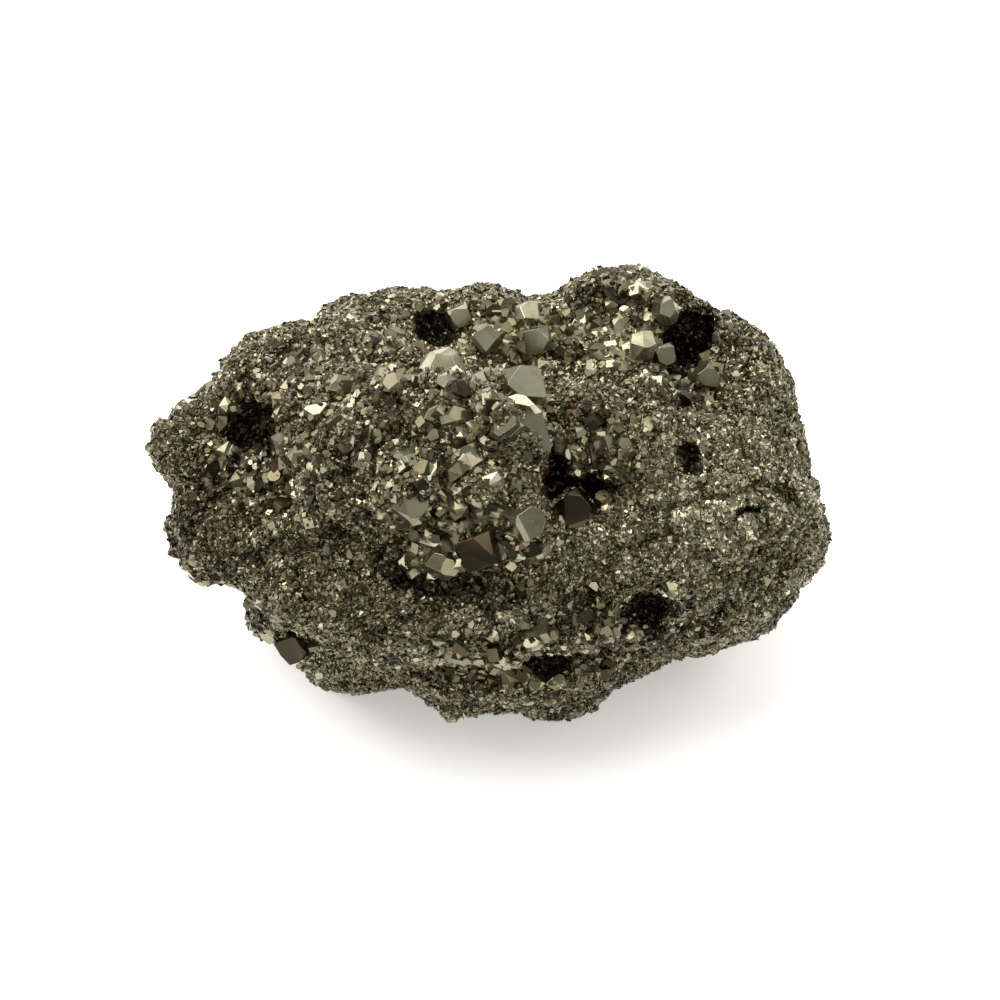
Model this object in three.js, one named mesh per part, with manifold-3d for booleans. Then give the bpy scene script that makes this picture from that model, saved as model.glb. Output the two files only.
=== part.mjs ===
// A hand-sized specimen of druzy pyrite: one lump of fine-grained pyrite, hollowed by crystal-lined
// pockets, with its larger single crystals grown out of it. Millimetres, +Z up. The origin is at the
// middle of the bounding box's base, on the broken patch that the lump rests on.
//
// The side that carries the crystals, the crystal face, looks forwards and up. It is modelled in a frame
// of its own: x runs across the face, y runs up it, and z points out of it.

import * as THREE from "three";
import { ConvexGeometry } from "three/addons/geometries/ConvexGeometry.js";
import { ImprovedNoise } from "three/addons/math/ImprovedNoise.js";
import { mergeVertices } from "three/addons/utils/BufferGeometryUtils.js";
import Module from "manifold-3d";

const wasm = await Module();
wasm.setup();

// Driving dimensions of the lump, in the frame of the crystal face.
const FACE_LEAN = THREE.MathUtils.degToRad(45); // the face's lean back from the vertical
const FACE_THICKNESS = 21; // from the girth out to the crystal face
const BACK_THICKNESS = 20.5; // from the girth back to the underside
const BOXINESS = 0.72; // 1 is an ellipsoid, and less has steeper sides
const CENTRE_HEIGHT = 18.6; // of the girth's centre above the rest plane
const GIRTH_SLOPE = 0.126; // how fast the girth falls back up the face
const GIRTH_BOW = 0.0081; // and how much it bows, per millimetre
const SKIN_DETAIL = 16; // subdivisions of the icosahedron that the lump is shaped from
const FACE_BIAS = 0.25; // how far its corners are crowded towards the crystal face
const POCKET_DETAIL = 2; // subdivisions of a pocket's icosahedron
const SEAT_GAP = 0.3; // clearance round a crystal in its socket

// The widest outline, seen straight onto the crystal face, with a point at each turn it takes, to the
// nearest half millimetre: [across, up], anticlockwise from the right. A smooth curve joins them.
const GIRTH = [
  [34.5, -2.5], [33, 4], [31.5, 11.5], [30, 15], // right end
  [25.5, 18.5], [19.5, 22], [14, 23.5], [10.5, 23], // shoulder and peak
  [6, 20.5], [3, 21], [-0.5, 22], [-4, 21], [-9.5, 21.5], // back rim, with its dips
  [-18, 18.5], [-26, 15], [-28, 13], [-29, 10.5], // back rim, falling left in steps
  [-32, 9], [-34.5, 5], [-34, 2.5], [-32, 0], // left knob
  [-33, -3.5], [-31.5, -8], [-28, -10], [-24.5, -11], // left flank
  [-25, -13], [-23.5, -15], [-21, -15.5], [-19.5, -18], [-17, -20.5], // foot
  [-8, -21], [-4, -22.5], [1, -23], [8, -23], // lower lip
  [13, -21], [14.5, -19.5], [19.5, -17.5], [29, -14.5], // lower right edge
  [31, -12.5], [30.5, -11], [32.5, -10], [34.5, -5.5], // notch and right bulge
];

// Swells (rise above 0) and hollows (below 0), raised out of the face or back. Each is an ellipse of the
// given half width and height, turned anticlockwise; a higher edge gives it a crisper border.
const FACE_RELIEF = [
  { what: "central dome", x: -7.5, y: 1.5, wide: 15, tall: 11.5, turn: -6, edge: 6, rise: 4.2 },
  { what: "dome's crest", x: 0.5, y: 7.5, wide: 7, tall: 3.5, turn: -30, edge: 3, rise: 1.8 },
  { what: "upper basin", x: 9, y: 15, wide: 16, tall: 4.6, turn: -4, edge: 4, rise: -5.2 },
  { what: "basin's right end", x: 21.5, y: 11.5, wide: 6, tall: 4.6, turn: 60, edge: 4, rise: -3.6 },
  { what: "peak behind the basin", x: 15, y: 21, wide: 8, tall: 2, turn: -8, edge: 2, rise: 1.8 },
  { what: "fine band below the basin", x: 16.5, y: 5, wide: 12, tall: 4.5, turn: -32, edge: 3, rise: 2.4 },
  { what: "right bulge", x: 25, y: -5, wide: 8, tall: 6, turn: 20, edge: 3, rise: 1.6 },
  { what: "groove right of the dome", x: 7.2, y: 0.5, wide: 2.4, tall: 7.5, turn: 12, edge: 3, rise: -3.8 },
  { what: "groove under the dome", x: -4.5, y: -7, wide: 12, tall: 2.4, turn: -14, edge: 3, rise: -2.8 },
  { what: "left hollow", x: -23, y: 3.2, wide: 5, tall: 6.5, turn: 24, edge: 3, rise: -5.2 },
  { what: "lower left band", x: -25, y: -6, wide: 8, tall: 4, turn: -28, edge: 3, rise: 1.8 },
  { what: "lower band", x: -6, y: -14, wide: 20, tall: 4.5, turn: -3, edge: 3, rise: 1.8 },
  { what: "slot above the lip", x: 3, y: -17.6, wide: 9, tall: 1.6, turn: 4, edge: 3, rise: -2.4 },
  { what: "shelf under the back rim", x: -12, y: 15.2, wide: 14, tall: 1.8, turn: 12, edge: 3, rise: -2.4 },
];
const BACK_RELIEF = [
  { what: "rear swell", x: 6, y: 12, wide: 13, tall: 8, turn: 10, edge: 3, rise: 3 },
  { what: "rear saddle", x: -12, y: 9, wide: 6, tall: 10, turn: 20, edge: 3, rise: -2.4 },
  { what: "left haunch", x: -23, y: 5, wide: 7, tall: 7, turn: 0, edge: 3, rise: 1.8 },
  { what: "right haunch", x: 25, y: 2, wide: 7, tall: 8, turn: 0, edge: 3, rise: 1.4 },
  { what: "undercut on the right", x: 25, y: -9, wide: 9, tall: 6, turn: 20, edge: 3, rise: -3.5 },
  { what: "undercut on the left", x: -24, y: -8, wide: 9, tall: 6, turn: -20, edge: 3, rise: -3.5 },
];

// Rounded lobes with creased valleys, all over the skin: [wavelength, height].
const LOBES = [[11, 1.7], [5, 1]];

// Pockets lined with druse: a mouth of the given half width and height, and a depth below the skin.
const FACE_POCKETS = [
  { what: "left hollow's pocket", x: -23.2, y: 6.2, wide: 2.3, tall: 2.8, depth: 5, turn: -20 },
  { what: "pocket behind the dome", x: -5.6, y: 16.2, wide: 1.8, tall: 1.4, depth: 4, turn: 20 },
  { what: "basin's pocket", x: 20.4, y: 15.4, wide: 3.3, tall: 2, depth: 5, turn: 47 },
  { what: "central cleft", x: 6.2, y: 2.2, wide: 1.5, tall: 4, depth: 6, turn: 10 },
  { what: "cleft's side pocket", x: 8.8, y: 0.3, wide: 2.4, tall: 1.8, depth: 4, turn: -20 },
  { what: "round hole", x: 15, y: -11.9, wide: 2.8, tall: 2.3, depth: 6, turn: 10 },
  { what: "slit under the dome", x: -6.2, y: -8.8, wide: 2.8, tall: 0.9, depth: 2.6, turn: -4 },
  { what: "right pit", x: 24.2, y: -2.1, wide: 2, tall: 0.9, depth: 3, turn: 12 },
  { what: "edge pit", x: 28.2, y: -0.3, wide: 1.2, tall: 1, depth: 2.6, turn: 0 },
  { what: "upright pit", x: 19.2, y: 3, wide: 0.8, tall: 1.6, depth: 2.8, turn: 0 },
  { what: "slit in the brow", x: -14.2, y: 13.2, wide: 1.7, tall: 0.8, depth: 2.2, turn: -6 },
  { what: "lip's left pocket", x: -1.2, y: -16.8, wide: 2.6, tall: 1.1, depth: 2.4, turn: 8 },
  { what: "lip's right pocket", x: 5.6, y: -16.9, wide: 2.6, tall: 1, depth: 2.6, turn: -6 },
];
const BACK_POCKETS = [
  { what: "rear pocket", x: -10, y: 12, wide: 3.2, tall: 2, depth: 4.5, turn: 30 },
  { what: "rear pit", x: 9, y: 6, wide: 2, tall: 1.4, depth: 3, turn: -20 },
  { what: "rear slit", x: 20, y: 9, wide: 2.8, tall: 1, depth: 3, turn: 50 },
  { what: "rear left pit", x: -24, y: 1, wide: 1.6, tall: 1.4, depth: 3, turn: 0 },
];

// The single crystals: across and up the face, the habit, half its edge, its tilt in degrees about the
// face's x, y and z, and how far its centre stands out of the skin.
const CRYSTALS = {
  crown_crystal: { habit: "cube", x: 3, y: 9, half: 1.6, tilt: [57, 8, -18], out: 0.3 },
  crown_blade_left: { habit: "blade", x: 1.6, y: 6.6, half: 1.25, tilt: [-8, -22, 38], out: 0.5 },
  crown_blade_right: { habit: "blade", x: 4.1, y: 5.4, half: 1.2, tilt: [-4, 24, 16], out: 0.3 },
  shield_crystal: { habit: "cut_cube", x: -1.3, y: 8.6, half: 1.6, tilt: [6, -6, 24], out: -0.5 },
  brow_crystal: { habit: "pyritohedron", x: -4.3, y: 11.4, half: 1.3, tilt: [20, 8, 30], out: 0.3 },
  cleft_crystal: { habit: "cut_cube", x: 8.2, y: -1.9, half: 1.4, tilt: [6, -10, 40], out: 0.3 },
  spur_crystal: { habit: "cube", x: -0.6, y: -0.2, half: 1.1, tilt: [30, 30, -38], out: 0.3 },
  dome_foot_crystal: { habit: "cut_cube", x: -7, y: -1.4, half: 1.3, tilt: [-10, 12, 50], out: 0.1 },
  groove_crystal_left: { habit: "pyritohedron", x: -4.2, y: -6.6, half: 1.1, tilt: [40, 0, 20], out: 0.4 },
  groove_crystal_middle: { habit: "cube", x: -0.6, y: -5.5, half: 1.3, tilt: [12, -14, 22], out: 0.3 },
  groove_crystal_right: { habit: "cube", x: 3.5, y: -2.8, half: 1.2, tilt: [10, 24, 30], out: 0.3 },
  basin_crystal_far_left: { habit: "cut_cube", x: -3, y: 17.3, half: 0.9, tilt: [6, 14, 20], out: 0.3 },
  basin_crystal_left: { habit: "cut_cube", x: -0.2, y: 14.6, half: 1.1, tilt: [-6, 6, 44], out: 0.3 },
  basin_crystal_middle: { habit: "cube", x: 5, y: 14.8, half: 1.1, tilt: [10, -10, 12], out: 0.4 },
  basin_crystal_bright: { habit: "cube", x: 3.8, y: 17.5, half: 1, tilt: [57, 4, -6], out: 0.4 },
  basin_crystal_right: { habit: "cube", x: 15, y: 14, half: 1, tilt: [52, 10, -8], out: 0.4 },
  pocket_crystal_upper: { habit: "pyritohedron", x: 17.6, y: 17.7, half: 0.9, tilt: [10, 30, 50], out: 0.3 },
  pocket_crystal_lower: { habit: "cut_cube", x: 17.2, y: 13.3, half: 0.9, tilt: [0, 20, 20], out: 0.3 },
  basin_edge_crystal: { habit: "cut_cube", x: 21.4, y: 11.2, half: 1, tilt: [20, 10, 36], out: 0.2 },
  foot_crystal: { habit: "cube", x: -18.6, y: -15, half: 1.2, tilt: [30, -20, 30], out: -0.5 },
};

const noise = new ImprovedNoise();

// The girth's distance from its centre, by angle in the face's plane.
function girthReach() {
  const corners = GIRTH.map(([x, y]) => new THREE.Vector3(x, y, 0));
  const smooth = new THREE.CatmullRomCurve3(corners, true, "centripetal");
  const polar = smooth.getPoints(GIRTH.length * 8).map((p) => [Math.atan2(p.y, p.x), Math.hypot(p.x, p.y)]);
  polar.sort((a, b) => a[0] - b[0]);
  const [first, last] = [polar[0], polar.at(-1)];
  const ring = [[last[0] - 2 * Math.PI, last[1]], ...polar, [first[0] + 2 * Math.PI, first[1]]];
  return (angle) => {
    const next = ring.findIndex(([a]) => a > angle);
    const [before, after] = [ring[next - 1], ring[next]];
    return THREE.MathUtils.mapLinear(angle, before[0], after[0], before[1], after[1]);
  };
}

// How far the listed swells and hollows lift the skin at a point of the face.
function reliefAt(list, x, y) {
  return list.reduce((sum, { x: cx, y: cy, wide, tall, turn, edge, rise }) => {
    const offset = new THREE.Vector2(x - cx, y - cy);
    offset.rotateAround(new THREE.Vector2(), -THREE.MathUtils.degToRad(turn));
    const share = Math.hypot(offset.x / wide, offset.y / tall);
    return sum + rise * Math.exp(-(share ** edge));
  }, 0);
}

// The height of the rounded lobes at a point.
function lobesAt(point) {
  return LOBES.reduce((sum, [wavelength, height]) => {
    const { x, y, z } = point.clone().divideScalar(wavelength);
    return sum + height * (Math.abs(noise.noise(x, y, z)) * 2 - 0.5);
  }, 0);
}

// Crowds the points of the unit sphere towards +z, where the detail is.
function crowded(direction) {
  const z = direction.z + FACE_BIAS * (1 - direction.z ** 2);
  const spread = Math.hypot(direction.x, direction.y) || 1;
  const shrink = Math.sqrt(1 - z * z) / spread;
  return new THREE.Vector3(direction.x * shrink, direction.y * shrink, z);
}

// Moves a point of the unit sphere out to the lump's skin.
function skinPoint(direction, reach) {
  const spread = Math.hypot(direction.x, direction.y);
  const angle = Math.atan2(direction.y, direction.x);
  const x = reach(angle) * spread * Math.cos(angle);
  const y = reach(angle) * spread * Math.sin(angle);
  const front = direction.z >= 0;
  const thickness = front ? FACE_THICKNESS : BACK_THICKNESS;
  const height = thickness * Math.abs(direction.z) ** BOXINESS;
  const relief = reliefAt(front ? FACE_RELIEF : BACK_RELIEF, x, y);
  const fade = 1 - spread ** 12;
  const setback = -GIRTH_SLOPE * y - GIRTH_BOW * y * y;
  const z = setback + Math.sign(direction.z) * (height + relief * fade);
  const skin = new THREE.Vector3(x, y, z);
  return skin.addScaledVector(direction, lobesAt(skin) * (1 - 0.6 * spread ** 4));
}

// A unit icosahedron, subdivided, with its corners shared.
function unitBall(detail) {
  const ball = new THREE.IcosahedronGeometry(1, detail);
  ball.deleteAttribute("normal");
  ball.deleteAttribute("uv");
  return mergeVertices(ball);
}

// Moves every corner of a geometry to where move() puts it.
function reshaped(geometry, move) {
  const position = geometry.getAttribute("position");
  const corner = new THREE.Vector3();
  for (let i = 0; i < position.count; i++) {
    corner.fromBufferAttribute(position, i);
    position.setXYZ(i, ...move(corner.clone()));
  }
  return geometry;
}

function toSolid(geometry) {
  const bare = geometry.clone();
  bare.deleteAttribute("normal");
  bare.deleteAttribute("uv");
  const merged = mergeVertices(bare, 1e-4);
  const vertProperties = new Float32Array(merged.getAttribute("position").array);
  const triVerts = new Uint32Array(merged.index.array);
  return new wasm.Manifold(new wasm.Mesh({ numProp: 3, vertProperties, triVerts }));
}

function toGeometry(solid) {
  const { vertProperties, triVerts } = solid.getMesh();
  const geometry = new THREE.BufferGeometry();
  geometry.setAttribute("position", new THREE.BufferAttribute(vertProperties, 3));
  geometry.setIndex(new THREE.BufferAttribute(triVerts, 1));
  geometry.computeVertexNormals();
  return geometry;
}

// The corners of each crystal habit, for half an edge of 1.
function habitCorners(habit) {
  const signs = [-1, 1];
  const cycle = ([a, b, c]) => [[a, b, c], [c, a, b], [b, c, a]];
  const octants = signs.flatMap((i) => signs.flatMap((j) => signs.map((k) => [i, j, k])));
  const box = (x, y, z) => octants.map(([i, j, k]) => [i * x, j * y, k * z]);
  const truncated = (cut) => cycle([1, 1, 1 - cut]).flatMap(([x, y, z]) => box(x, y, z));
  if (habit === "cube") return truncated(0.16);
  if (habit === "cut_cube") return truncated(0.6);
  if (habit === "blade") return truncated(0.2).map(([x, y, z]) => [0.75 * x, 1.6 * y, 0.8 * z]);
  return [...box(0.92, 0.92, 0.92), ...cycle([0, 1.38, 0.69]).flatMap(([x, y, z]) => box(x, y, z))];
}

// A crystal at its full size, or grown all round by a clearance to cut its socket.
function crystalGeometry({ habit, half }, clearance = 0) {
  const size = half + clearance;
  const corners = habitCorners(habit).map((corner) => new THREE.Vector3(...corner));
  return new ConvexGeometry(corners.map((corner) => corner.multiplyScalar(size)));
}

// The point where the skin is met by a line straight into the face, or into the back.
function skinAt(skin, x, y, front) {
  const far = front ? 100 : -100;
  const inward = new THREE.Vector3(0, 0, -Math.sign(far));
  return new THREE.Raycaster(new THREE.Vector3(x, y, far), inward).intersectObject(skin)[0].point;
}

// A pocket's hollow: a lumpy ellipsoid sunk through the skin, with its mouth in the face or the back.
function pocketSolid(skin, { x, y, wide, tall, depth, turn }, front) {
  const ball = reshaped(unitBall(POCKET_DETAIL), (corner) => {
    const { x: a, y: b, z: c } = corner.clone().multiplyScalar(1.7);
    return corner.multiplyScalar(1 + 0.35 * noise.noise(a + x, b + y, c));
  });
  ball.scale(wide, tall, depth);
  ball.rotateZ(THREE.MathUtils.degToRad(turn));
  ball.translate(...skinAt(skin, x, y, front));
  return toSolid(ball);
}

// Everything below the rest plane, in the frame of the face.
function restPlaneSolid() {
  const block = new THREE.BoxGeometry(200, 200, 100);
  block.translate(0, 0, -50 - CENTRE_HEIGHT);
  block.rotateX(-(Math.PI / 2 - FACE_LEAN));
  return toSolid(block);
}

// A crystal's mesh, standing on the skin.
function crystalMesh(skin, name, crystal) {
  const material = new THREE.MeshStandardMaterial({ color: 0x8d8565, roughness: 0.22, metalness: 1 });
  const mesh = new THREE.Mesh(crystalGeometry(crystal), material);
  mesh.name = name;
  mesh.position.copy(skinAt(skin, crystal.x, crystal.y, true));
  mesh.position.z += crystal.out;
  mesh.rotation.set(...crystal.tilt.map(THREE.MathUtils.degToRad));
  mesh.updateMatrix();
  return mesh;
}

// The socket that a crystal grows in, in the frame of the face.
function socketSolid(crystal, mesh) {
  const grown = crystalGeometry(crystal, SEAT_GAP);
  grown.applyMatrix4(mesh.matrix);
  return toSolid(grown);
}

// Where two crystals have grown into each other, the later one is cut back from the earlier one.
function cutByNeighbour(mesh, neighbourSocket) {
  const own = toSolid(mesh.geometry.clone().applyMatrix4(mesh.matrix));
  if (own.intersect(neighbourSocket).isEmpty()) return;
  const inverse = mesh.matrix.clone().invert();
  mesh.geometry = toGeometry(own.subtract(neighbourSocket)).applyMatrix4(inverse);
}

function buildSpecimen() {
  const reach = girthReach();
  const blank = reshaped(unitBall(SKIN_DETAIL), (corner) => skinPoint(crowded(corner), reach));
  const skin = new THREE.Mesh(blank);
  const crystals = Object.entries(CRYSTALS).map(([name, crystal]) => crystalMesh(skin, name, crystal));
  const sockets = Object.values(CRYSTALS).map((crystal, i) => socketSolid(crystal, crystals[i]));
  crystals.forEach((mesh, i) => sockets.slice(0, i).forEach((socket) => cutByNeighbour(mesh, socket)));
  const cuts = [
    restPlaneSolid(),
    ...FACE_POCKETS.map((pocket) => pocketSolid(skin, pocket, true)),
    ...BACK_POCKETS.map((pocket) => pocketSolid(skin, pocket, false)),
    ...sockets,
  ];
  const lump = cuts.reduce((solid, cut) => solid.subtract(cut), toSolid(blank));

  const material = new THREE.MeshStandardMaterial({ color: 0x5e5a48, roughness: 0.38, metalness: 1 });
  const mass = new THREE.Mesh(toGeometry(lump), material);
  mass.name = "pyrite_mass";

  const face = new THREE.Group();
  face.rotation.x = Math.PI / 2 - FACE_LEAN;
  face.position.z = CENTRE_HEIGHT;
  face.add(mass, ...crystals);
  return face;
}

// Centres the bounding box over the origin, and leaves the rest plane where it is.
function centred(face) {
  const specimen = new THREE.Group();
  specimen.add(face);
  specimen.updateMatrixWorld(true);
  const middle = new THREE.Box3().setFromObject(specimen, true).getCenter(new THREE.Vector3());
  face.position.x -= middle.x;
  face.position.y -= middle.y;
  return specimen;
}

export default centred(buildSpecimen());
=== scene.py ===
# %% [markdown]
# # A druzy pyrite specimen
# The real thing is one hand-sized lump of fine-grained pyrite. Its skin is a mosaic of thousands of tiny
# crystals, its hollows are lined with larger ones, and about twenty single crystals stand out by name.
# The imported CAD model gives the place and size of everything, so it is loaded first and never moved.

# %% Load the frame
import math

import bmesh
import bpy
import numpy as np
from mathutils import Matrix, Vector, noise
from mathutils.bvhtree import BVHTree


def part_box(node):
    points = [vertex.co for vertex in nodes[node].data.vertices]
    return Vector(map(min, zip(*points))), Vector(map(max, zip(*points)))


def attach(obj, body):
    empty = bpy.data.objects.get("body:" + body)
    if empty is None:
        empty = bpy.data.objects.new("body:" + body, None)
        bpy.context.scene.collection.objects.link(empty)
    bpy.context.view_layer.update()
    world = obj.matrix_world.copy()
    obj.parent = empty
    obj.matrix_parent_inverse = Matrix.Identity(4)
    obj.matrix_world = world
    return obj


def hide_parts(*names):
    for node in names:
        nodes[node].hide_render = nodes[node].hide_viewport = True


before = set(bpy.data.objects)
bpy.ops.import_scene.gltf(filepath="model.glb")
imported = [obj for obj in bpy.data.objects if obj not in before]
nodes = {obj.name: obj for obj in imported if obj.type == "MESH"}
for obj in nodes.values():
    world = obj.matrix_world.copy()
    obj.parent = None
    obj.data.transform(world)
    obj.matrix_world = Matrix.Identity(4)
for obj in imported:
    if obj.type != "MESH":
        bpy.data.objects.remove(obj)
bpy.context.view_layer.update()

MM = 0.001

# %% [markdown]
# ## The crystal face's own directions
# The lump lies so that the side with the crystals looks forwards and up, halfway between the two. Places
# on that side are easier to give in directions of its own: across it, up it, and out of it.

# %% Face directions
FACE_LEAN = math.radians(45)
ACROSS = Vector((1, 0, 0))
UP_FACE = Vector((0, math.sin(FACE_LEAN), math.cos(FACE_LEAN)))
OUT = Vector((0, -math.cos(FACE_LEAN), math.sin(FACE_LEAN)))
FACE_CENTRE = Vector((0, -1.6, 18.6)) * MM  # the middle of the widest outline


def on_face(across, up, out=0.0):
    """A point given in millimetres across, up and out of the crystal face."""
    return FACE_CENTRE + (ACROSS * across + UP_FACE * up + OUT * out) * MM


# %% [markdown]
# ## Camera
# The camera looks straight down on to the crystal face from a hand's reach away. A long lens that far back
# keeps the near dome from swelling.

# %% Camera
CAMERA_DISTANCE = 0.220
camera_data = bpy.data.cameras.new("camera")
camera_data.lens = 77.5
camera_data.clip_start = 0.01
camera_data.clip_end = 20
camera = bpy.data.objects.new("camera", camera_data)
bpy.context.scene.collection.objects.link(camera)
camera.location = on_face(1.2, -1.0) + OUT * CAMERA_DISTANCE
camera.rotation_mode = "QUATERNION"
camera.rotation_quaternion = (-OUT).to_track_quat("-Z", "Y")
bpy.context.scene.camera = camera
bpy.context.scene.view_settings.view_transform = "Standard"
print("camera at", [round(v, 3) for v in camera.location])

# %% [markdown]
# ## Shader maths in plain Python
# A material here is a formula: noise times a colour, plus a little roughness. Building it node by node hides
# the formula, so a small class wraps a socket and turns + - * / into Math nodes. Colours and vectors go
# through Mix and Vector Math nodes, because a Math node would turn a colour grey.


# %% Shader helper
class Value:
    """A shader socket that can be added, multiplied and so on."""

    def __init__(self, recipe, socket):
        self.recipe = recipe
        self.socket = socket

    def _maths(self, operation, first, second):
        node = self.recipe.nodes.new("ShaderNodeMath")
        node.operation = operation
        self.recipe.plug(node.inputs[0], first)
        self.recipe.plug(node.inputs[1], second)
        return Value(self.recipe, node.outputs[0])

    def __add__(self, other):
        return self._maths("ADD", self, other)

    __radd__ = __add__

    def __sub__(self, other):
        return self._maths("SUBTRACT", self, other)

    def __rsub__(self, other):
        return self._maths("SUBTRACT", other, self)

    def __mul__(self, other):
        return self._maths("MULTIPLY", self, other)

    __rmul__ = __mul__

    def __pow__(self, other):
        return self._maths("POWER", self, other)

    def __gt__(self, other):
        return self._maths("GREATER_THAN", self, other)


class Recipe:
    """A material's node tree, with one method that makes any node."""

    def __init__(self, name):
        self.material = bpy.data.materials.new(name)
        self.material.use_nodes = True
        self.tree = self.material.node_tree
        self.nodes = self.tree.nodes
        self.shader = self.nodes["Principled BSDF"]
        self.place = self.node("ShaderNodeTexCoord", output="Object")

    def plug(self, socket, value):
        if isinstance(value, Value):
            self.tree.links.new(value.socket, socket)
        else:
            socket.default_value = value

    def node(self, kind, settings=None, inputs=None, output=0):
        made = self.nodes.new(kind)
        for name, value in (settings or {}).items():
            setattr(made, name, value)
        for name, value in (inputs or {}).items():
            self.plug(made.inputs[name], value)
        return Value(self, made.outputs[output])

    def ramp(self, factor, stops):
        """Colours by a factor from 0 to 1."""
        made = self.nodes.new("ShaderNodeValToRGB")
        elements = made.color_ramp.elements
        while len(elements) < len(stops):
            elements.new(0.5)
        for element, (position, colour) in zip(elements, stops):
            element.position = position
            element.color = (*colour, 1)
        self.plug(made.inputs["Fac"], factor)
        return Value(self, made.outputs["Color"])

    def mix(self, factor, first, second, blend="MIX"):
        """Two colours mixed."""
        made = self.nodes.new("ShaderNodeMix")
        made.data_type = "RGBA"
        made.blend_type = blend
        self.plug(made.inputs[0], factor)
        self.plug(made.inputs[6], first if isinstance(first, Value) else (*first, 1))
        self.plug(made.inputs[7], second if isinstance(second, Value) else (*second, 1))
        return Value(self, made.outputs[2])

    def noise(self, scale, detail=2.0, output="Fac"):
        """Noise at a number of swells per metre."""
        inputs = {"Vector": self.place, "Scale": scale, "Detail": detail}
        return self.node("ShaderNodeTexNoise", {}, inputs, output)

    def attribute(self, name):
        """A number stored on the mesh."""
        return self.node("ShaderNodeAttribute", {"attribute_name": name}, {}, "Fac")

    def finish(self, **sockets):
        for name, value in sockets.items():
            self.plug(self.shader.inputs[name.replace("_", " ")], value)
        return self.material


print("shader helper ready")

# %% [markdown]
# ## Floor and light
# The specimen lies on a white sheet over a weak light table, which keeps the shadows pale. A metal shows
# what it mirrors, so the light is planned as something to be seen in the facets: one broad lamp overhead,
# weaker ones round it, and dim surroundings on the camera's side that leave the facing facets dark.

# %% Floor and light
FLOOR_SIZE = 8.0
ROOM_DIM = 0.48
ROOM_BRIGHT = 1.0
TABLE_GLOW = 0.36


def paper():
    recipe = Recipe("white_sheet")
    fibre = recipe.noise(900, 3)
    colour = recipe.ramp(fibre, [(0.3, (0.86, 0.855, 0.85)), (0.7, (0.9, 0.895, 0.89))])
    return recipe.finish(
        Base_Color=colour, Roughness=0.7, Emission_Color=(1.0, 0.985, 0.95, 1), Emission_Strength=TABLE_GLOW
    )


bpy.ops.mesh.primitive_plane_add(size=FLOOR_SIZE)
floor = bpy.context.object
floor.name = "floor"
floor.data.materials.append(paper())


def lamp(name, towards, strength, width, colour):
    """A distant soft lamp. Its width is the angle it covers in the sky, in degrees."""
    data = bpy.data.lights.new(name, "SUN")
    data.energy = strength
    data.angle = math.radians(width)
    data.color = colour
    made = bpy.data.objects.new(name, data)
    bpy.context.scene.collection.objects.link(made)
    made.rotation_mode = "QUATERNION"
    made.rotation_quaternion = Vector(towards).to_track_quat("Z", "Y")
    return made


lamp("key_lamp", (-0.4, 0.2, 1.0), 2.7, 58, (1.0, 0.99, 0.96))
lamp("left_lamp", (-1.0, 0.3, 0.8), 0.8, 36, (1.0, 0.995, 0.98))
lamp("right_lamp", (1.0, 0.4, 0.9), 0.6, 34, (0.98, 0.99, 1.0))
lamp("rear_window", (0.1, 1.0, 0.6), 0.7, 32, (1.0, 1.0, 0.98))
lamp("front_fill", (0.3, -1.0, 0.9), 0.3, 50, (1.0, 1.0, 1.0))

world = bpy.data.worlds.new("room")
bpy.context.scene.world = world
world.use_nodes = True
room = world.node_tree
direction = room.nodes.new("ShaderNodeTexCoord")
towards_light = room.nodes.new("ShaderNodeVectorMath")
towards_light.operation = "DOT_PRODUCT"
towards_light.inputs[1].default_value = (0, 0.55, 0.83)
room.links.new(direction.outputs["Generated"], towards_light.inputs[0])
brightness = room.nodes.new("ShaderNodeMapRange")
room.links.new(towards_light.outputs["Value"], brightness.inputs["Value"])
brightness.inputs["From Min"].default_value = 0.0
brightness.inputs["From Max"].default_value = 1.0
brightness.inputs["To Min"].default_value = ROOM_DIM
brightness.inputs["To Max"].default_value = ROOM_BRIGHT
room.links.new(brightness.outputs[0], room.nodes["Background"].inputs["Strength"])
room.nodes["Background"].inputs["Color"].default_value = (1.0, 0.985, 0.95, 1)
print("floor and", len(bpy.data.lights), "lamps")

# %% [markdown]
# ## The skin, 1: closing the sockets
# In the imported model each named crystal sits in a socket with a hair's clearance. On the real lump it has
# grown out of the mass with no gap. So a copy of the mass gets a ball of pyrite in each socket, under the
# crystal, and a voxel remesh melts mass and balls into one even skin that is fine enough to shape.

# %% Skin blank
SKIN_VOXEL = 0.395 * MM
crystal_names = sorted(name for name in nodes if name != "pyrite_mass")


def link(name, mesh):
    made = bpy.data.objects.new(name, mesh)
    bpy.context.scene.collection.objects.link(made)
    return made


def merged_copy(node):
    """A CAD node's mesh with its loose triangles joined, as a bmesh."""
    made = bmesh.new()
    made.from_mesh(nodes[node].data)
    bmesh.ops.remove_doubles(made, verts=made.verts, dist=0.001 * MM)
    return made


def crystal_middle(node):
    low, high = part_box(node)
    return (low + high) / 2


def crystal_radius(node):
    low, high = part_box(node)
    return (high - low).length / 2 / math.sqrt(3)


def skin_blank():
    blank = merged_copy("pyrite_mass")
    for name in crystal_names:
        radius = crystal_radius(name)
        place = Matrix.Translation(crystal_middle(name) - OUT * radius * 0.5)
        bmesh.ops.create_icosphere(blank, subdivisions=2, radius=radius * 1.18 + 0.2 * MM, matrix=place)
    mesh = bpy.data.meshes.new("skin_blank")
    blank.to_mesh(mesh)
    blank.free()
    made = link("skin_blank", mesh)
    remesh = made.modifiers.new("voxels", "REMESH")
    remesh.mode = "VOXEL"
    remesh.voxel_size = SKIN_VOXEL
    solid = bpy.data.meshes.new_from_object(made.evaluated_get(bpy.context.evaluated_depsgraph_get()))
    bpy.data.objects.remove(made)
    return solid


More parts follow.
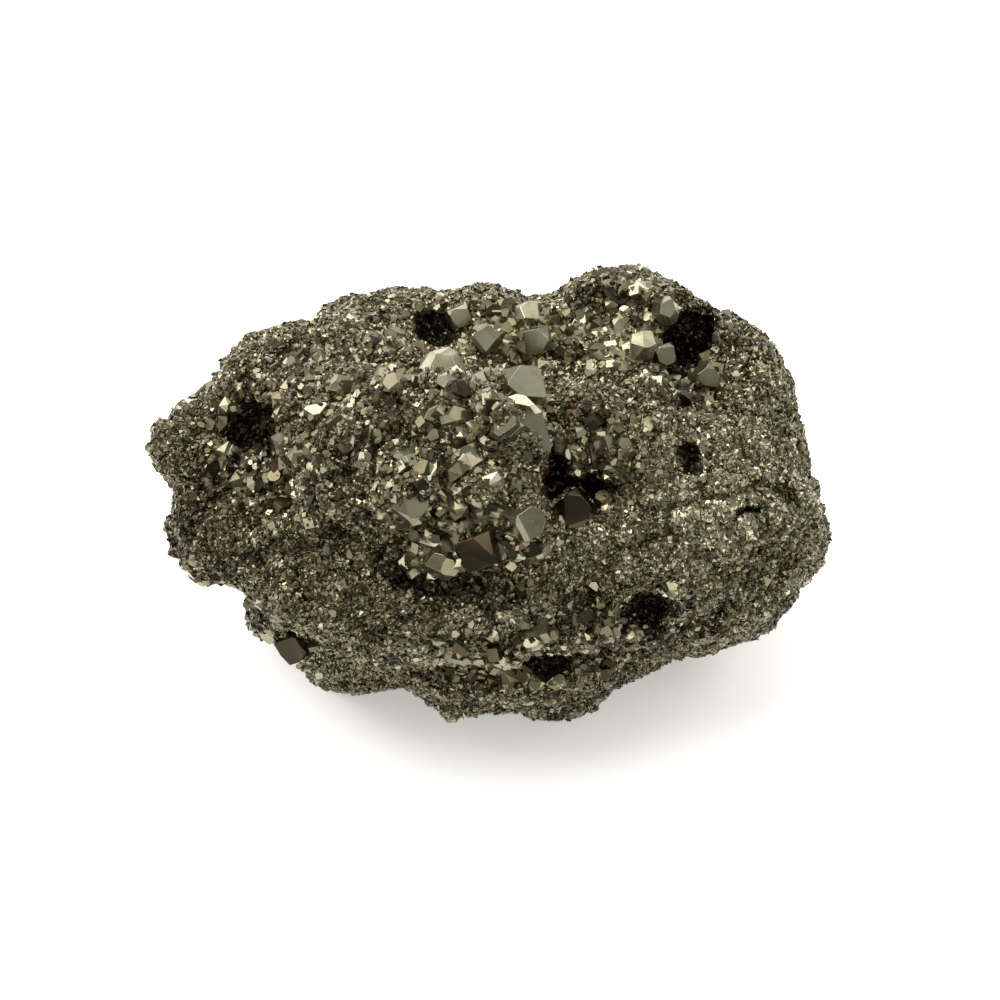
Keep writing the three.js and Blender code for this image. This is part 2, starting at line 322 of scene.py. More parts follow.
skin_mesh = skin_blank()
print("skin blank:", len(skin_mesh.vertices), "corners,", len(skin_mesh.polygons), "faces")

# %% [markdown]
# ## Where the druse is coarse
# Crystals grow large where they had room: in the basin, on the crown, in the groove under the dome, along
# the lip and in the hollows. Each such patch is an ellipse on the crystal face with a strength. On the back,
# which is plainer, a slow noise sets the patches instead. Large crystals stay off the named ones.

# %% Coarse patches
COARSE = [  # across, up, half width, half height, turn, strength
    (8.0, 15.0, 13.5, 3.4, -5, 1.0),  # upper basin
    (20.0, 13.0, 4.5, 5.0, 30, 0.9),  # round the basin's pocket
    (0.5, 8.2, 5.0, 3.4, -20, 0.9),  # crown
    (-1.2, -4.8, 6.5, 3.6, 10, 1.0),  # groove under the dome
    (4.0, -17.0, 9.0, 1.7, 3, 0.85),  # lip
    (-23.5, 4.5, 4.0, 5.5, 20, 0.7),  # left hollow
    (-27.0, -9.0, 6.0, 1.8, -30, 0.4),  # lower left edge
    (-19.0, -16.0, 4.0, 1.8, -40, 0.4),  # foot
    (-11.0, 9.5, 5.0, 3.0, 10, 0.5),  # upper left of the dome
    (14.0, 20.0, 5.0, 1.8, 0, 0.6),  # peak
    (8.5, 0.5, 2.6, 4.5, 10, 0.8),  # cleft
    (-5.0, 4.0, 11.0, 7.0, -12, 0.38),  # all over the dome, small
    (10.5, 4.0, 5.0, 5.5, 10, 0.36),  # right of the cleft, small
    (-20.0, 5.0, 8.0, 8.0, 0, 0.34),  # round the left hollow, small
    (-13.0, 14.5, 12.0, 3.5, 15, 0.3),  # back rim, small
    (6.0, -15.0, 14.0, 4.0, 5, 0.28),  # above the lip, small
]


def face_coordinates(points):
    """Points as millimetres across, up and out of the crystal face."""
    local = (points - np.array(FACE_CENTRE)) / MM
    return [local @ np.array(axis) for axis in (ACROSS, UP_FACE, OUT)]


def coarseness(points):
    across, up, out = face_coordinates(points)
    value = np.zeros(len(points))
    for x, y, wide, tall, turn, strength in COARSE:
        c, s = math.cos(math.radians(turn)), math.sin(math.radians(turn))
        along = (across - x) * c + (up - y) * s
        aside = -(across - x) * s + (up - y) * c
        share = (along / wide) ** 2 + (aside / tall) ** 2
        value = np.maximum(value, strength * np.exp(-(share**2)))
    value *= out > -3
    patches = np.array([noise.noise(Vector(p) / (9 * MM)) for p in points])
    behind = np.clip((patches - 0.12) * 4, 0, 0.9) * (out <= -3)
    return np.maximum(value, behind)


def clear_of_crystals(points):
    """0 on top of a named crystal, and 1 away from them all."""
    across, up, out = face_coordinates(points)
    clear = np.ones(len(points))
    for name in crystal_names:
        x, y, z = (float(v[0]) for v in face_coordinates(np.array([crystal_middle(name)])))
        radius = crystal_radius(name) / MM
        distance = np.sqrt((across - x) ** 2 + (up - y) ** 2 + (out - z) ** 2) / radius
        clear = np.minimum(clear, np.clip((distance - 1.0) * 3, 0, 1))
    return clear


# %% [markdown]
# ## The skin, 2: lobes, creases and ledges
# Pyrite mass grows as rounded lobes that meet in creases, and it breaks in ledges. Each corner of the skin moves
# along its own outward direction: out for a lobe, in for a crease, and again for a few listed grooves and steps.
# Nothing moves below the rest plane, and the broken base stays flat.

# %% Skin relief
LOBE_SIZES = [(8.0, 0.8), (3.6, 0.6), (1.6, 0.32)]  # width and depth of the creases between lobes, in mm
GRAIN_JITTER = 0.06  # in mm
COARSE_RECESS = 0.5  # how far the skin drops under coarse druse, in mm
GROOVES = [  # across, up, half length, half width, turn in degrees, depth: in mm on the crystal face
    (-3.0, 12.8, 13.0, 0.9, -6, 1.2),  # under the dome's back edge
    (-15.0, -3.5, 7.0, 0.5, -30, 0.8),  # left foot of the dome
    (4.0, -17.2, 10.0, 0.7, 4, 0.5),  # above the lip
    (13.0, 10.8, 9.0, 0.6, -24, 0.9),  # front edge of the basin
    (-26.0, -10.6, 6.0, 0.5, -20, 0.9),  # lower left edge
    (20.0, -1.0, 8.0, 0.5, 12, 0.7),  # crease between the pits on the right
]


PLATEAUS = [  # across, up, half width, half height, turn, rise: in mm on the crystal face
    (-4.9, 4.6, 10.0, 6.2, -12, 1.2),  # dome
    (-0.7, 9.2, 5.0, 2.5, -25, 0.6),  # crown
    (10.3, 4.6, 3.8, 4.2, 10, 0.9),  # right of the cleft
    (21.0, -2.8, 8.5, 4.5, 20, 0.7),  # fine druse on the right
    (-27.0, -4.6, 4.5, 5.0, 0, 0.6),  # left lobe
    (3.9, -19.0, 11.0, 2.0, 2, 0.6),  # lip
    (-12.7, -11.5, 10.0, 3.2, -8, 0.8),  # lower band
    (-14.5, 14.7, 8.0, 2.4, 18, 0.6),  # back rim
]
STEP_WIDTH = 0.22  # of a plateau's edge, as a share of its half width


def read_vectors(collection, name, count):
    flat = np.empty(count * 3, np.float32)
    collection.foreach_get(name, flat)
    return flat.reshape(-1, 3).astype(float)


def groove_depth(points):
    """How deep the listed grooves cut at each point, in mm."""
    across, up, out = face_coordinates(points)
    depth = np.zeros(len(points))
    for x, y, length, width, turn, deep in GROOVES:
        c, s = math.cos(math.radians(turn)), math.sin(math.radians(turn))
        along = (across - x) * c + (up - y) * s
        aside = -(across - x) * s + (up - y) * c
        depth += deep * np.exp(-((along / length) ** 4) - (aside / width) ** 2)
    return depth * (out > 0)


def plateau_height(points):
    """How high the listed steps raise each point, in mm. A slow noise frays their outlines."""
    across, up, out = face_coordinates(points)
    fray = np.array([noise.noise_vector(Vector(p) / (2.5 * MM)) for p in points]) * 1.1
    across, up = across + fray[:, 0], up + fray[:, 1]
    height = np.zeros(len(points))
    for x, y, wide, tall, turn, rise in PLATEAUS:
        c, s = math.cos(math.radians(turn)), math.sin(math.radians(turn))
        along = ((across - x) * c + (up - y) * s) / wide
        aside = (-(across - x) * s + (up - y) * c) / tall
        share = np.clip((1 - np.sqrt(along**2 + aside**2)) / STEP_WIDTH + 0.5, 0, 1)
        height += rise * share**2 * (3 - 2 * share)
    return height * (out > 0)


def lobe_height(point):
    """Rounded lobes with creased valleys, in mm."""
    height = 0.0
    for width, depth in LOBE_SIZES:
        near, nearest = noise.voronoi(point / (width * MM))
        height -= depth * max(0.0, 1 - (near[1] - near[0]) * 2.6) ** 2
    return height


def shape_skin(mesh):
    count = len(mesh.vertices)
    points = read_vectors(mesh.vertices, "co", count)
    normals = read_vectors(mesh.vertex_normals, "vector", count)
    lobes = np.array([lobe_height(Vector(p)) for p in points])
    jitter = np.random.default_rng(7).normal(0, GRAIN_JITTER, count)
    on_base = np.clip(points[:, 2] / MM / 1.2, 0, 1)
    recess = COARSE_RECESS * coarseness(points)
    creases = groove_depth(points) - lobes
    move = (jitter + plateau_height(points) - creases - recess) * on_base
    points += normals * move[:, None] * MM
    points[:, 2] = np.maximum(points[:, 2], 0)
    mesh.vertices.foreach_set("co", points.astype(np.float32).ravel())
    mesh.update()
    return move, creases


moved, creases = shape_skin(skin_mesh)
print("skin moved by", round(moved.min(), 2), "to", round(moved.max(), 2), "mm")

# %% [markdown]
# ## How open the skin is
# Pockets are lined with larger crystals, and the finishes paint shade into the deepest of them and painted light on
# to half-hidden faces. Short rays cast off each corner of the skin say how open it is to the sky. That number, and
# two that say where coarse and fine crystals grow, are kept on the skin for the druse and the finishes to read.

# %% Openness and the growth numbers
RAYS = 20
RAY_LENGTH = 9 * MM


def openness(mesh, points, normals):
    """The share of short rays off the skin that meet nothing."""
    tree = BVHTree.FromPolygons([tuple(p) for p in points], [tuple(p.vertices) for p in mesh.polygons])
    spiral = np.arange(RAYS) + 0.5
    rise = 1 - spiral / RAYS * 0.95
    turn = spiral * math.pi * (1 + math.sqrt(5))
    flat = np.sqrt(1 - rise**2)
    rays = np.stack([flat * np.cos(turn), flat * np.sin(turn), rise], axis=1)
    free = np.zeros(len(points))
    for i, (point, normal) in enumerate(zip(points, normals)):
        basis = np.array(Vector(normal).to_track_quat("Z", "Y").to_matrix())
        start = Vector(point + normal * 0.15 * MM)
        hits = sum(tree.ray_cast(start, Vector(ray), RAY_LENGTH)[0] is not None for ray in rays @ basis.T)
        free[i] = 1 - hits / RAYS
    return free


CREASE_SHADE = 0.24  # painted shade in the creases, per mm of crease
COARSE_GAP_SHADE = 0.3  # painted shade: the fine grains between large crystals are darker
# These patches are partly real tarnish and partly painted light and shade: the pale ones are painted light, and the
# dark ones are painted shade with some brown tarnish.
STAINS_AND_PAINTED_LIGHT = [  # across, up, half width, half height, turn, shift in tone
    (6.0, 14.0, 12.0, 4.0, -4, 0.28),  # bright basin
    (19.0, -1.0, 9.5, 6.0, 15, 0.32),  # fine druse on the right
    (-11.0, 16.0, 10.0, 3.5, 12, 0.18),  # back rim
    (-10.0, -12.0, 13.0, 3.0, -4, -0.04),  # lower band
    (4.0, -18.0, 10.0, 2.0, 0, -0.08),  # lip
    (-22.5, 3.5, 4.5, 5.5, 0, -0.28),  # left hollow
    (-26.0, -10.0, 7.0, 3.0, -30, -0.15),  # lower left edge
    (-28.0, -3.0, 6.5, 8.0, 0, -0.2),  # left flank
    (-2.0, -5.5, 7.0, 4.0, 8, -0.14),  # groove under the dome
]
WELLS = [  # across, up, half width, half height: hollows that no light reaches
    (15.0, -11.6, 2.5, 2.0),  # round hole
    (24.2, -2.1, 1.8, 0.7),  # right pit
    (19.2, 3.0, 0.7, 1.4),  # upright pit
]
BRIGHT_WALLS = [  # across, up, half width, half height: fresh little crystals on walls that face the light
    (13.4, -13.0, 1.9, 1.1),  # at the bottom of the round hole
    (8.2, 3.2, 0.9, 2.0),  # the cleft's right wall
    (-22.5, 2.0, 2.2, 2.2),  # under the left hollow's pocket
]


def within(points, patches):
    """1 in the middle of the listed ellipses, and 0 outside them."""
    across, up, out = face_coordinates(points)
    value = np.zeros(len(points))
    for x, y, wide, tall in patches:
        share = ((across - x) / wide) ** 2 + ((up - y) / tall) ** 2
        value = np.maximum(value, np.clip(1.6 * (1.15 - share), 0, 1))
    return value * (out > 0)


def stain_and_painted_light(points):
    """How much paler or darker the druse is than usual: a slow noise, and the listed patches, which are partly
    tarnish and partly painted light and shade.
    """
    across, up, out = face_coordinates(points)
    value = np.array([noise.noise(Vector(p) / (6 * MM)) for p in points]) * 0.25
    value += np.array([noise.noise(Vector(p) / (1.8 * MM)) for p in points]) * 0.18
    for x, y, wide, tall, turn, shift in STAINS_AND_PAINTED_LIGHT:
        c, s = math.cos(math.radians(turn)), math.sin(math.radians(turn))
        along = (across - x) * c + (up - y) * s
        aside = -(across - x) * s + (up - y) * c
        value += shift * np.exp(-((along / wide) ** 2) - (aside / tall) ** 2) * (out > -3)
    return value


def store(mesh, name, values):
    attribute = mesh.attributes.new(name, "FLOAT", "POINT")
    attribute.data.foreach_set("value", np.asarray(values, np.float32))


count = len(skin_mesh.vertices)
skin_points = read_vectors(skin_mesh.vertices, "co", count)
skin_normals = read_vectors(skin_mesh.vertex_normals, "vector", count)
coarse = coarseness(skin_points) * clear_of_crystals(skin_points)
free = openness(skin_mesh, skin_points, skin_normals)
# The listed wells count as nearly closed, so their colour is darkened as painted shade.
free *= 1 - 0.93 * within(skin_points, WELLS)
standing = (skin_points[:, 2] > 0.3 * MM).astype(float)
front = face_coordinates(skin_points)[2] > -10
facing = np.where(front, np.clip((skin_normals @ np.array(OUT) - 0.1) * 3, 0, 1), 1)
store(skin_mesh, "open_sky", free)
store(skin_mesh, "grow_coarse", np.clip((coarse - 0.2) / 0.6, 0, 1) * (free > 0.35) * facing * standing)
store(skin_mesh, "grow_medium", np.clip(coarse, 0.03, 1) * (free > 0.3) * standing)
store(skin_mesh, "grow_glints", within(skin_points, BRIGHT_WALLS) * standing)
store(skin_mesh, "grow_fine", np.clip(1.3 - coarse, 0.35, 1) * standing)
store(skin_mesh, "tone", np.full(count, 0.5))
# Painted shade darkens the creases and the fine grains between large crystals.
painted_light_and_stain = stain_and_painted_light(skin_points) - CREASE_SHADE * np.clip(creases, 0, 1.5) - COARSE_GAP_SHADE * coarse
store(skin_mesh, "stain_and_painted_light", painted_light_and_stain)
print("open sky from", round(free.min(), 2), "to", round(free.max(), 2), "- coarse share", round(coarse.mean(), 2))

# %% [markdown]
# ## Finishes
# Fresh pyrite is a pale brass metal, and this lump has an olive-grey cast with brown tarnish. Every crystal carries
# a random tone from 0 to 1, and one ramp turns it into brown, olive, grey-green or pale brass, so neighbours differ
# as they do on the stone. The open-sky number paints shade into the deepest pockets and painted light on to
# half-hidden faces. On the skin itself, a Voronoi pattern gives each cell its own tilt, which makes a mosaic of
# little mirrors between the crystals.

# %% Pyrite finishes
TONES = [
    (0.00, (0.031, 0.024, 0.013)),  # brown tarnish
    (0.12, (0.062, 0.047, 0.024)),
    (0.30, (0.114, 0.099, 0.055)),  # olive grey
    (0.55, (0.170, 0.156, 0.098)),
    (0.76, (0.212, 0.202, 0.143)),  # grey-green
    (0.92, (0.325, 0.298, 0.194)),  # pale brass
    (1.00, (0.455, 0.422, 0.302)),
]
METAL_SHARE = 0.85  # the rest is the dull film between the grains
HOLLOW_PAINTED_LIGHT = 1.7  # painted light on half-hidden faces, up to this much brighter than open ones


def pyrite(name, mottle, rough_low, rough_high, facet=None, striae=None, painted_light_and_stain=1.0, in_hollow=False):
    recipe = Recipe(name)
    # Stains, and painted light and shade, shift the tone.
    tone = recipe.attribute("tone") + painted_light_and_stain * recipe.attribute("stain_and_painted_light")
    sky = recipe.attribute("open_sky")
    patch = recipe.noise(mottle, 2)
    colour = recipe.ramp(tone + (patch - 0.5) * 0.5, TONES)
    # Painted light and shade by openness: the deepest pockets are darkened, and half-hidden faces brightened.
    hollow_light_and_shade = recipe.ramp(sky, [(0.05, (0.24,) * 3), (0.2, (0.9,) * 3), (0.4, (1,) * 3), (0.85, (0.59,) * 3)])
    if not in_hollow:
        colour = vector_maths(recipe, "SCALE", colour, hollow_light_and_shade * HOLLOW_PAINTED_LIGHT)
    grain = recipe.noise(mottle * 4, 1)
    roughness = rough_low + (rough_high - rough_low) * grain
    sockets = {"Base_Color": colour, "Roughness": roughness, "Metallic": METAL_SHARE}
    if facet:
        sockets["Normal"] = mosaic_normal(recipe, *facet)
    if striae:
        sockets["Normal"] = striated_normal(recipe, *striae)
    return recipe.finish(**sockets)


def vector_maths(recipe, operation, first, second, output=0):
    node = recipe.nodes.new("ShaderNodeVectorMath")
    node.operation = operation
    recipe.plug(node.inputs[0], first)
    recipe.plug(node.inputs["Scale"] if operation == "SCALE" else node.inputs[1], second)
    return Value(recipe, node.outputs[output])


def mosaic_normal(recipe, cell, tilt):
    """The surface's own direction, tipped a different way in each Voronoi cell."""
    inputs = {"Vector": recipe.place, "Scale": 1 / cell, "Randomness": 1.0}
    cells = recipe.node("ShaderNodeTexVoronoi", {"voronoi_dimensions": "3D", "feature": "F1"}, inputs, "Color")
    centred = vector_maths(recipe, "SUBTRACT", cells, (0.5, 0.5, 0.5))
    tipped = vector_maths(recipe, "SCALE", centred, tilt)
    own = recipe.node("ShaderNodeNewGeometry", output="Normal")
    return vector_maths(recipe, "NORMALIZE", vector_maths(recipe, "ADD", own, tipped), (0, 0, 0))


def striated_normal(recipe, pitch, depth):
    """Fine growth lines, as a bump."""
    inputs = {"Vector": recipe.place, "Scale": 1 / pitch, "Distortion": 1.5, "Detail": 2.0}
    lines = recipe.node("ShaderNodeTexWave", {"bands_direction": "DIAGONAL"}, inputs, "Fac")
    return recipe.node("ShaderNodeBump", {}, {"Height": lines, "Strength": depth, "Distance": 0.05 * MM}, "Normal")


SKIN_FINISH = pyrite("skin_mosaic", 320, 0.18, 0.38, facet=(0.3 * MM, 1.2))
FINE_FINISH = pyrite("fine_druse", 500, 0.14, 0.34, facet=(0.35 * MM, 0.35))
COARSE_FINISH = pyrite("coarse_druse", 420, 0.15, 0.34, striae=(0.5 * MM, 0.04), painted_light_and_stain=0.3)
CRYSTAL_FINISH = pyrite("crystal_faces", 380, 0.15, 0.32, striae=(0.7 * MM, 0.03), painted_light_and_stain=0.0)
HOLLOW_FINISH = pyrite("hollow_crystals", 420, 0.12, 0.30, striae=(0.5 * MM, 0.04), painted_light_and_stain=0.0, in_hollow=True)
print("finishes:", [m.name for m in (SKIN_FINISH, FINE_FINISH, COARSE_FINISH, CRYSTAL_FINISH, HOLLOW_FINISH)])

# %% Put the skin in place
skin = link("granular_skin", skin_mesh)
for face in skin_mesh.polygons:
    face.use_smooth = False
skin_mesh.materials.clear()
skin_mesh.materials.append(SKIN_FINISH)
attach(skin, "root")
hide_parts("pyrite_mass")
print("skin:", len(skin_mesh.polygons) * 2, "triangles at most")

# %% [markdown]
# ## Crystal habits
# Pyrite grows as cubes, as cubes with their corners cut, and as pyritohedra with twelve five-sided faces.
# Each habit is one small mesh about one unit across, and each has only a few dozen faces because it is
# repeated thousands of times.


# %% Habit meshes
def hull(name, corners):
    made = bmesh.new()
    for corner in corners:
        made.verts.new(corner)
    found = bmesh.ops.convex_hull(made, input=made.verts)
    bmesh.ops.delete(made, geom=found["geom_unused"] + found["geom_interior"], context="VERTS")
    bmesh.ops.dissolve_limit(made, angle_limit=0.01, verts=made.verts, edges=made.edges)
    bmesh.ops.recalc_face_normals(made, faces=made.faces)
    mesh = bpy.data.meshes.new(name)
    made.to_mesh(mesh)
    made.free()
    habit = link(name, mesh)
    habit.hide_render = True
    return habit


def signed(x, y, z):
    return {(i * x, j * y, k * z) for i in (-1, 1) for j in (-1, 1) for k in (-1, 1)}


def rounds(x, y, z):
    return signed(x, y, z) | signed(z, x, y) | signed(y, z, x)


def ring(count, radius, height, start):
    """Corners on a circle, with uneven spacing so that the polygon isn't regular."""
    angles = [start + 2 * math.pi * (i + 0.22 * math.sin(2.4 * i + start)) / count for i in range(count)]
    return {(radius * math.cos(a), radius * math.sin(a), height) for a in angles}


HABITS = {
    "cube": hull("habit_cube", signed(0.5, 0.5, 0.5)),
    "cut_cube": hull("habit_cut_cube", rounds(0.5, 0.5, 0.2)),
    "corner": hull("habit_corner", {(0, 0, 0.38)} | ring(3, 0.8, -0.2, 0)),
    "plate": hull("habit_plate", ring(4, 0.42, 0.2, 0.2) | ring(4, 0.66, -0.3, 0)),
    "slab": hull("habit_slab", ring(5, 0.44, 0.28, 0.3) | ring(6, 0.62, -0.3, 0)),
    "pyritohedron": hull("habit_pyritohedron", signed(0.42, 0.42, 0.42) | rounds(0, 0.63, 0.315)),
}
print("habits:", {name: len(habit.data.polygons) for name, habit in HABITS.items()})

# %% [markdown]
# ## Growing the druse with Geometry Nodes
# Thousands of crystals that follow a surface are a job for Geometry Nodes. One tree sows points on the skin,
# more of them where the chosen number on the skin is high, puts a crystal on each point with a random turn,
# size and stretch, sinks it a little, and gives it a random tone. Poisson spacing keeps neighbours apart, so
# the skin is covered with fewer crystals than random sowing would need.


# %% The growing tree
def growing_tree():
    tree = bpy.data.node_groups.new("grow_druse", "GeometryNodeTree")
    face = tree.interface
    face.new_socket(name="Geometry", in_out="OUTPUT", socket_type="NodeSocketGeometry")
    face.new_socket(name="Geometry", in_out="INPUT", socket_type="NodeSocketGeometry")
    for name, kind in (
        ("Habit", "Object"), ("Finish", "Material"), ("Where", "String"), ("Spacing", "Float"),
        ("Smallest", "Float"), ("Largest", "Float"), ("Sink", "Float"), ("Tilt", "Float"), ("Dullest", "Float"),
        ("Seed", "Int"),
    ):
        face.new_socket(name=name, in_out="INPUT", socket_type="NodeSocket" + kind)

    def node(kind, settings=None, inputs=None):
        made = tree.nodes.new(kind)
        for name, value in (settings or {}).items():
            setattr(made, name, value)
        for name, value in (inputs or {}).items():
            socket = made.inputs[name]
            if isinstance(value, bpy.types.NodeSocket):
                tree.links.new(value, socket)
            else:
                socket.default_value = value
        return made

    def maths(operation, first, second):
        return node("ShaderNodeMath", {"operation": operation}, {0: first, 1: second}).outputs[0]

    def random(kind, low, high, salt):
        seed = maths("ADD", given["Seed"], salt)
        made = node("FunctionNodeRandomValue", {"data_type": kind}, {"Seed": seed})
        slots = {"FLOAT_VECTOR": (0, 1, 0), "FLOAT": (2, 3, 1)}[kind]
        made.inputs[slots[0]].default_value = low
        made.inputs[slots[1]].default_value = high
        return made.outputs[slots[2]]

    given = node("NodeGroupInput").outputs
    where = node("GeometryNodeInputNamedAttribute", {"data_type": "FLOAT"}, {"Name": given["Where"]})
    crowd = maths("DIVIDE", 1.3, maths("MULTIPLY", given["Spacing"], given["Spacing"]))
    sown = node("GeometryNodeDistributePointsOnFaces", {"distribute_method": "POISSON"}, {
        "Mesh": given["Geometry"], "Distance Min": given["Spacing"], "Density Max": crowd,
        "Density Factor": where.outputs["Attribute"], "Seed": given["Seed"],
    })
    luck = maths("POWER", random("FLOAT", 0.0, 1.0, 11), 2.0)
    spread = maths("SUBTRACT", given["Largest"], given["Smallest"])
    size = maths("ADD", given["Smallest"], maths("MULTIPLY", luck, spread))
    depth = maths("MULTIPLY", size, maths("MULTIPLY", given["Sink"], -1.0))
    offset = node("ShaderNodeVectorMath", {"operation": "SCALE"}, {
        0: sown.outputs["Normal"], "Scale": depth,
    })
    seated = node("GeometryNodeSetPosition", {}, {
        "Geometry": sown.outputs["Points"], "Offset": offset.outputs[0],
    })
    lean = node("ShaderNodeVectorMath", {"operation": "MULTIPLY"}, {
        0: random("FLOAT_VECTOR", (-1, -1, 0), (1, 1, 6.3), 23),
        1: node("ShaderNodeCombineXYZ", {}, {"X": given["Tilt"], "Y": given["Tilt"], "Z": 1.0}).outputs[0],
    })
    leaning = node("FunctionNodeEulerToRotation", {}, {0: lean.outputs[0]})
    turn = node("FunctionNodeRotateRotation", {"rotation_space": "LOCAL"}, {
        "Rotation": sown.outputs["Rotation"], "Rotate By": leaning.outputs[0],
    })
    stretch = node("ShaderNodeVectorMath", {"operation": "SCALE"}, {
        0: random("FLOAT_VECTOR", (0.65, 0.65, 0.65), (1.25, 1.25, 1.25), 37), "Scale": size,
    })
    habit = node("GeometryNodeObjectInfo", {}, {"Object": given["Habit"]})
    grown = node("GeometryNodeInstanceOnPoints", {}, {
        "Points": seated.outputs[0], "Instance": habit.outputs["Geometry"],
        "Rotation": turn.outputs[0], "Scale": stretch.outputs[0],
    })
    toned = node("GeometryNodeStoreNamedAttribute", {"data_type": "FLOAT", "domain": "INSTANCE"}, {
        "Geometry": grown.outputs[0], "Name": "tone", "Value": maths("MAXIMUM", random("FLOAT", 0.0, 1.0, 53),
                                                                     given["Dullest"]),
    })
    real = node("GeometryNodeRealizeInstances", {}, {"Geometry": toned.outputs[0]})
    coloured = node("GeometryNodeSetMaterial", {}, {"Geometry": real.outputs[0], "Material": given["Finish"]})
    node("NodeGroupOutput", {}, {"Geometry": coloured.outputs[0]})
    return tree


GROW = growing_tree()
SOCKETS = {item.name: item.identifier for item in GROW.interface.items_tree if item.in_out == "INPUT"}
print("tree inputs:", list(SOCKETS))

# %% [markdown]
# ## The druse itself
# The fine druse is sown four times with different seeds, so that each piece stays light and the skin is
# covered with no visible order. The coarse druse is sown once for each habit. Each result becomes a plain
# mesh, and any corner that reached below the rest plane is brought back up to it.


# %% Grow the druse
def grow(name, habit, finish, where, spacing, smallest, largest, sink, tilt, seed, dullest=0.0):
    host = link("host", skin_mesh)
    modifier = host.modifiers.new("grow", "NODES")
    modifier.node_group = GROW
    values = {
        "Habit": HABITS[habit], "Finish": finish, "Where": where, "Spacing": spacing * MM,
        "Smallest": smallest * MM, "Largest": largest * MM, "Sink": sink, "Tilt": tilt, "Seed": seed,
        "Dullest": dullest,
    }
    for key, value in values.items():
        modifier[SOCKETS[key]] = value
    bpy.context.view_layer.update()
    mesh = bpy.data.meshes.new_from_object(host.evaluated_get(bpy.context.evaluated_depsgraph_get()))
    bpy.data.objects.remove(host)
    mesh.name = name
    points = read_vectors(mesh.vertices, "co", len(mesh.vertices))
    points[:, 2] = np.maximum(points[:, 2], 0)
    mesh.vertices.foreach_set("co", points.astype(np.float32).ravel())
    mesh.update()
    druse = link(name, mesh)
    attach(druse, "root")
    triangles = sum(len(face.vertices) - 2 for face in mesh.polygons)
    print(name, triangles, "triangles")
    return druse


ANY_WAY = math.pi
for layer in range(4):
    grow(f"fine_corners_{layer + 1}", "corner", FINE_FINISH, "grow_fine", 0.43, 0.28, 0.62, 0.0, 0.75, 150 + layer)
for layer in range(3):
    grow(f"fine_plates_{layer + 1}", "plate", FINE_FINISH, "grow_fine", 0.64, 0.3, 0.72, 0.0, 0.5, 100 + layer)
for layer in range(4):
    grow(f"medium_slabs_{layer + 1}", "slab", COARSE_FINISH, "grow_medium", 0.7, 0.45, 1.2, 0.05, 0.45, 201 + layer)
grow("medium_cubes", "cube", COARSE_FINISH, "grow_medium", 0.75, 0.45, 1.1, 0.3, ANY_WAY, 211)
for layer in range(3):
    grow(f"coarse_slabs_{layer + 1}", "slab", COARSE_FINISH, "grow_coarse", 1.15, 0.8, 2.2, 0.05, 0.45,
         311 + layer)
grow("coarse_cubes", "cube", COARSE_FINISH, "grow_coarse", 1.4, 0.9, 1.9, 0.4, ANY_WAY, 301)
grow("coarse_cut_cubes", "cut_cube", COARSE_FINISH, "grow_coarse", 1.3, 0.9, 2.1, 0.4, ANY_WAY, 321)
grow("coarse_pyritohedra", "pyritohedron", COARSE_FINISH, "grow_coarse", 1.9, 0.9, 1.9, 0.4, ANY_WAY, 331)
grow("bright_wall_crystals", "cut_cube", HOLLOW_FINISH, "grow_glints", 0.6, 0.45, 1.15, 0.1, ANY_WAY, 341,
     dullest=0.9)
for habit in HABITS.values():
    bpy.data.objects.remove(habit)

# %% [markdown]
# ## Flat crystals set one by one
# A few flat crystals catch the eye although they are too small to be parts of their own: pale plates in the
# groove and on the lip, dark ones on the dome's left. Each is a low slab, dropped on to the skin by a ray from
# in front. Its lean decides whether it mirrors the lamp or the dim side of the room.

# %% Flat crystals
LIT = (-0.24, 0.50)  # the lean across and up that sends the lamp's light to the camera
HALF_LIT = (-0.15, 0.28)
LEVEL = (0.05, -0.05)
FLAT_CRYSTALS = [  # across, up, width, height, turn, lean, tone
    (-16.0, 7.5, 2.4, 1.4, 8, LIT, 0.95), (-12.9, 9.7, 2.3, 1.5, -5, LEVEL, 0.05),
    (-13.8, 5.9, 1.8, 1.7, 40, LEVEL, 0.06), (-12.5, 8.0, 0.7, 2.2, -20, LIT, 0.9),
    (13.2, 19.0, 2.2, 1.1, 8, LEVEL, 0.02), (16.0, 17.2, 1.5, 1.2, 30, LIT, 0.8),
    (-6.9, -1.4, 2.4, 2.8, 15, HALF_LIT, 0.8), (-5.2, -4.6, 2.1, 1.7, -20, HALF_LIT, 0.85),
    (-2.9, -6.4, 1.6, 2.1, 10, HALF_LIT, 0.9), (-7.2, -6.8, 2.1, 2.2, 45, HALF_LIT, 0.7),
    (-7.4, -3.1, 2.1, 1.4, 0, LEVEL, 0.05), (3.3, -3.2, 1.9, 1.7, 50, HALF_LIT, 0.8),
    (4.1, -14.3, 1.7, 1.2, 10, HALF_LIT, 0.85), (9.1, -14.0, 1.3, 1.3, 30, HALF_LIT, 0.85),
    (-2.9, -15.6, 2.2, 1.4, -15, HALF_LIT, 0.75), (-4.5, 7.0, 2.8, 1.3, 25, LEVEL, 0.6),
    (1.5, 6.0, 2.2, 2.6, -30, LEVEL, 0.7), (4.4, 6.6, 1.2, 2.8, 12, LEVEL, 0.75),
    (12.0, 12.2, 1.6, 1.0, 0, LIT, 0.85), (9.5, 14.0, 2.4, 0.8, -14, LIT, 0.9),
    (3.0, 8.0, 3.2, 1.2, -20, LIT, 0.95),
]
SLAB_SIDES = 6


